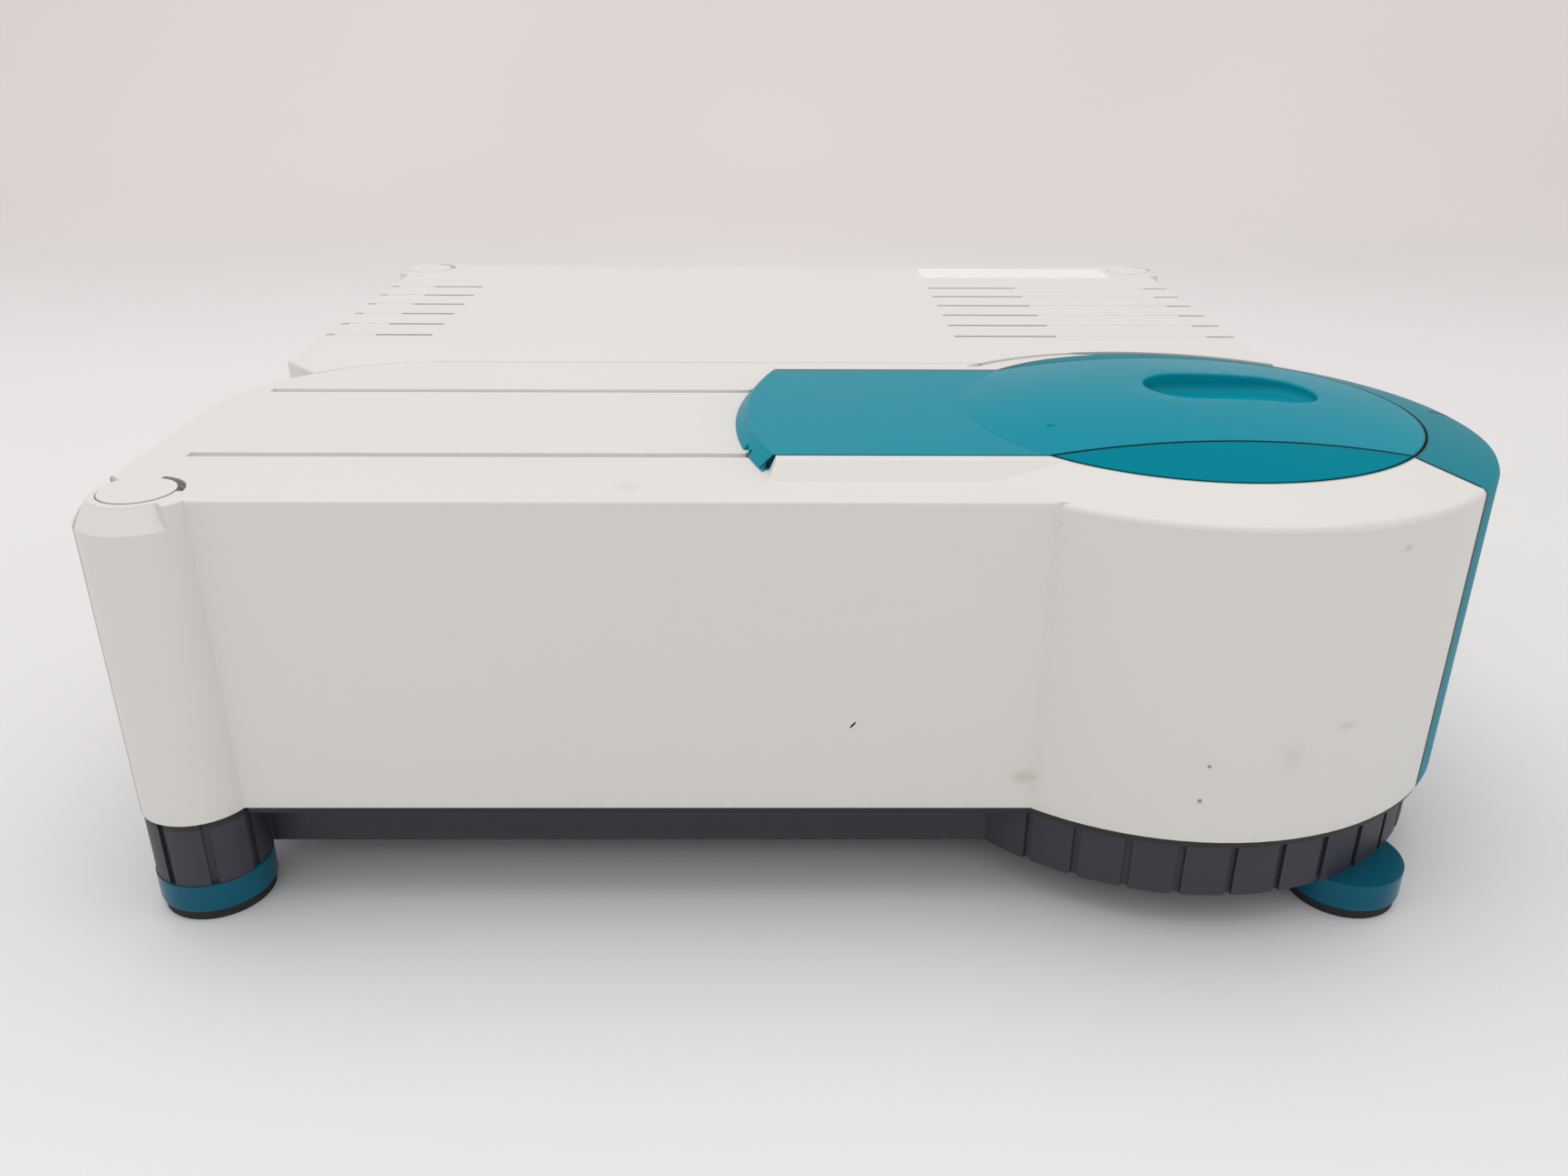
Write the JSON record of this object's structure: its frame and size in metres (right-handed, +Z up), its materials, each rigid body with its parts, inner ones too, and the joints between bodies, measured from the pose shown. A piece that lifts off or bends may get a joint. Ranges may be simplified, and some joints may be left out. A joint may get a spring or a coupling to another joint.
{
  "type": "uv-vis spectrophotometer",
  "caption": "Bench-top UV-vis spectrophotometer with a sliding lid over a round sample compartment, vented rear cover and rubber feet.",
  "frame": {"origin": "middle of the footprint on the bench top", "axes": "+X along the length towards the sample compartment end, -Y the long side with the bowed compartment front, +Z up"},
  "size_m": [0.563, 0.503, 0.1965],
  "materials": {
    "white_plastic": "fine moulded texture, satin",
    "teal_plastic": "fine moulded texture, satin",
    "dark_plastic": "moulded, satin",
    "black_plastic": "moulded, matt",
    "black_rubber": "matt",
    "steel": "bright",
    "brass": "plated",
    "aluminium": "machined",
    "black_anodised": "black anodised",
    "glass": "polished fused silica",
    "mirror": "coated optic",
    "circuit_board": "solder resist",
    "board_parts": "moulded"
  },
  "bodies": {
    "housing": {"base_tray": "dark_plastic", "beam_splitter": "glass", "beam_windows": "glass", "board_parts": "board_parts", "board_pillars": "steel", "cell_holder": "black_anodised", "collimating_mirror": "mirror", "compartment_panel": "teal_plastic", "compartment_tub": "black_plastic", "condenser_lens": "glass", "connector_panel": "aluminium", "corner_cap_front_left": "white_plastic", "corner_cap_rear_left": "white_plastic", "corner_cap_rear_right": "white_plastic", "data_port": "steel", "fan_frame": "black_plastic", "filter_motor": "black_anodised", "flash_lamp": "glass", "focusing_mirror": "mirror", "foot_pads": "black_rubber", "foot_ring_front_left": "teal_plastic", "foot_ring_front_right": "teal_plastic", "foot_ring_rear_left": "teal_plastic", "foot_ring_rear_right": "teal_plastic", "foot_screws": "steel", "front_cover": "white_plastic", "front_crescent": "teal_plastic", "grating_motor": "black_anodised", "holder_base": "aluminium", "holder_knobs": "black_plastic", "holder_screws": "steel", "inlet_pins": "brass", "lamp_housing": "aluminium", "lamp_socket": "black_plastic", "lid_seal": "black_rubber", "main_board": "circuit_board", "mains_inlet": "black_plastic", "monochromator_cover": "aluminium", "monochromator_housing": "aluminium", "optical_bench": "aluminium", "panel_screws": "steel", "power_supply": "aluminium", "rear_cover": "white_plastic", "rear_crescent": "teal_plastic", "reference_detector": "black_anodised", "sample_detector": "black_anodised", "slits": "steel", "splitter_holder": "aluminium", "switch_frame": "black_plastic", "window_rings": "steel"},
    "lid": {"lid": "teal_plastic", "lid_runners": "black_plastic"},
    "grating_table": {"grating_table": "aluminium", "grating": "mirror"},
    "filter_wheel": {"filter_wheel": "black_plastic", "order_filters": "glass"},
    "fan_rotor": {"fan_rotor": "black_plastic"},
    "power_rocker": {"power_rocker": "black_plastic"},
    "fuse_drawer": {"fuse_drawer": "black_plastic"}
  },
  "joints": [
    {"name": "lid_slide", "type": "slide", "parent": "housing", "child": "lid", "axis": [-1, 0, 0], "range_m": [0, 0.215]},
    {"name": "grating_turn", "type": "hinge", "parent": "housing", "child": "grating_table", "pos_m": [-0.084, -0.1665, 0.067], "axis": [0, 0, 1], "range_deg": [-25, 35]},
    {"name": "filter_wheel_turn", "type": "hinge", "parent": "housing", "child": "filter_wheel", "pos_m": [-0.03, -0.0925, 0.085], "axis": [1, 0, 0], "continuous": true},
    {"name": "fan_spin", "type": "hinge", "parent": "housing", "child": "fan_rotor", "pos_m": [0.222, 0.0955, 0.138], "axis": [1, 0, 0], "continuous": true},
    {"name": "rocker_tilt", "type": "hinge", "parent": "housing", "child": "power_rocker", "pos_m": [-0.133, 0.2382, 0.092], "axis": [1, 0, 0], "range_deg": [-16, 0]},
    {"name": "fuse_drawer_slide", "type": "slide", "parent": "housing", "child": "fuse_drawer", "axis": [0, 1, 0], "range_m": [0, 0.015]}
  ]
}
